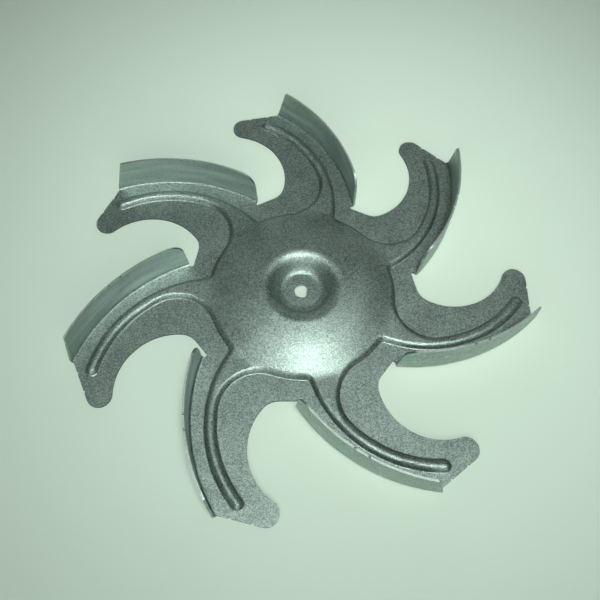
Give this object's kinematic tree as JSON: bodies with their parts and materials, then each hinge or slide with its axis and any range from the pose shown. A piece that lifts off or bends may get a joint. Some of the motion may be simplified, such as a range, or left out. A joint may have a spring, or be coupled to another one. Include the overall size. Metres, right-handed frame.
{
  "type": "convection oven fan blade",
  "caption": "Pressed sheet-steel oven fan blade: a domed hub with a sunk seat and a D-shaped shaft hole, and curved sickle blades, each with a pressed rib and a folded flange.",
  "frame": {"origin": "centre of the shaft hole on the underside of the hub seat", "axes": "+Z along the shaft axis, the way the flanges stand and the nut is put on; X and Y across the blades"},
  "size_m": [0.1826, 0.1853, 0.016],
  "materials": {
    "sheet_steel": "aluminised sheet, dull with a fine spangle, bright cut edges"
  },
  "bodies": {
    "root": {"fan_blade": "sheet_steel"}
  },
  "joints": []
}
